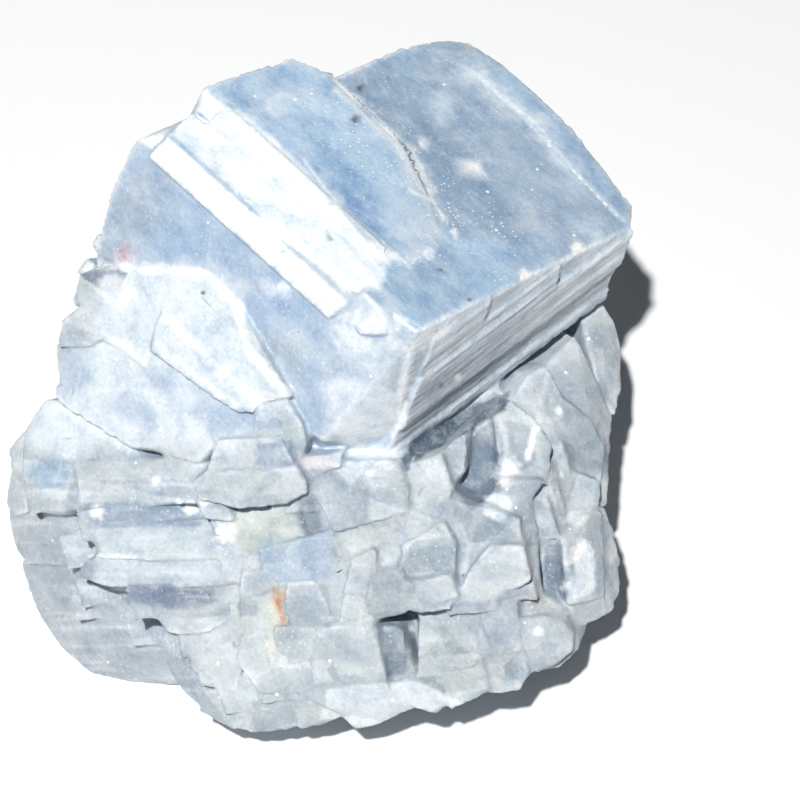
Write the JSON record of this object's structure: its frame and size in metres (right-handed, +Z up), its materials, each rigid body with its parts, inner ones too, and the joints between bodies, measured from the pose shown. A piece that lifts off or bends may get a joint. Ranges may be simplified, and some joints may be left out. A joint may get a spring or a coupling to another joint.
{
  "type": "blue calcite crystal",
  "caption": "Mass of pale blue calcite: a large stepped cleavage rhomb on top of a crowd of small blocky crystals and flat plates, resting on a broad lower face.",
  "frame": {"origin": "centre of the bounding box at the level of the table that the mass rests on", "axes": "+Z up; +X to the right and -Y towards the front, where the small blocks lie under the large rhomb's front corner"},
  "size_m": [0.0779, 0.0804, 0.0539],
  "materials": {
    "blue_calcite": "natural cleavage faces: cloudy translucent pale blue, glossy on fresh faces, frosted white where bruised"
  },
  "bodies": {
    "root": {"calcite_crystal": "blue_calcite"}
  },
  "joints": []
}
